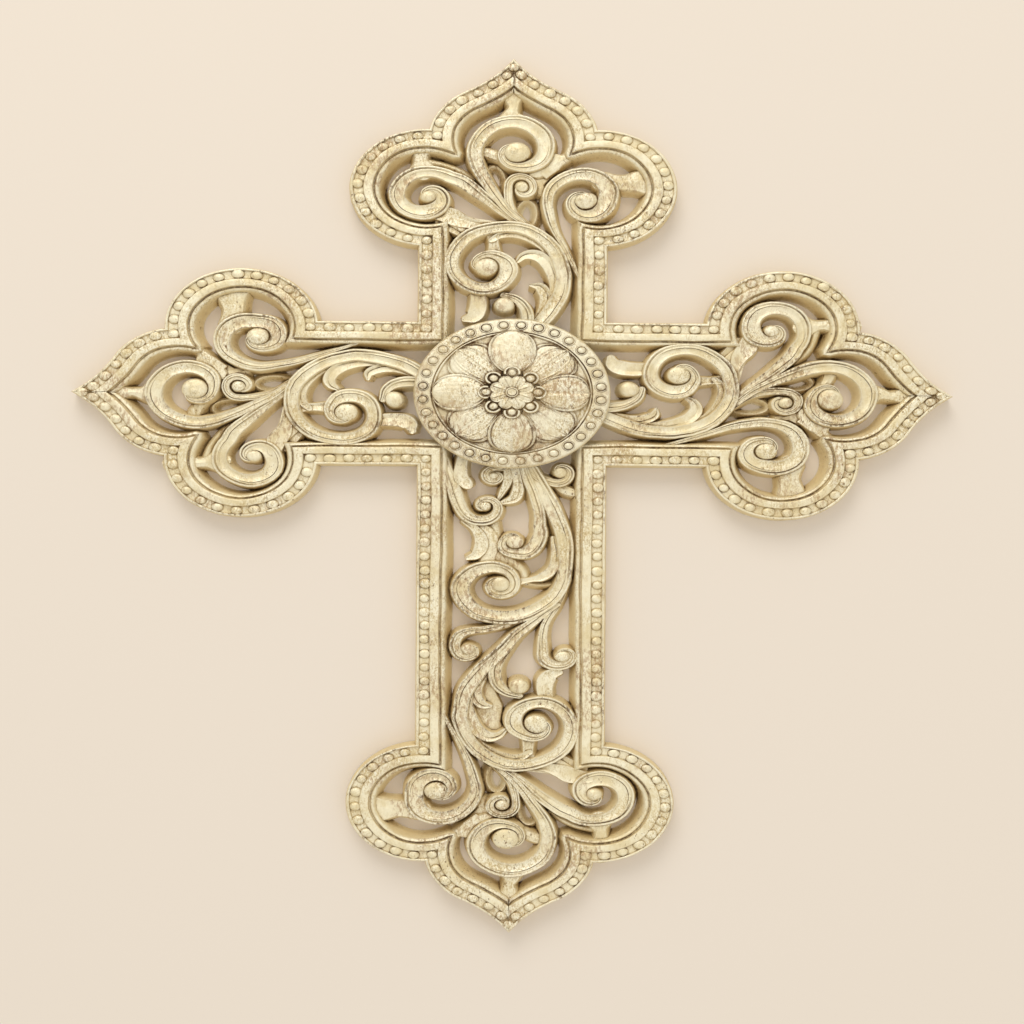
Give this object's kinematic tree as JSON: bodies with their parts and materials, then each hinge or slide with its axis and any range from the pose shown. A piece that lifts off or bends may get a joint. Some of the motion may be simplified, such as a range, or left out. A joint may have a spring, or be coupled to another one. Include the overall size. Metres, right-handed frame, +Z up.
{
  "type": "ornamental wall cross",
  "caption": "Openwork cast cross with budded, pointed arm ends, leafy scrollwork inside a beaded frame and an oval rosette medallion over the crossing; hangs on a wall.",
  "frame": {"origin": "centre of the mouth of the nail hole, in the flat back just below the top point", "axes": "+X across the cross to the viewer's right, +Y from the front to the wall, +Z up; the flat back is the plane y = 0"},
  "size_m": [0.439, 0.0208, 0.4347],
  "materials": {
    "cross_leaf": "pale champagne metal leaf over a red-brown ground, worn, with umber glaze in the recesses",
    "medallion_leaf": "pale champagne metal leaf, worn on the high points, with umber glaze in the recesses"
  },
  "bodies": {
    "root": {"cross_casting": "cross_leaf", "medallion": "medallion_leaf"}
  },
  "joints": []
}
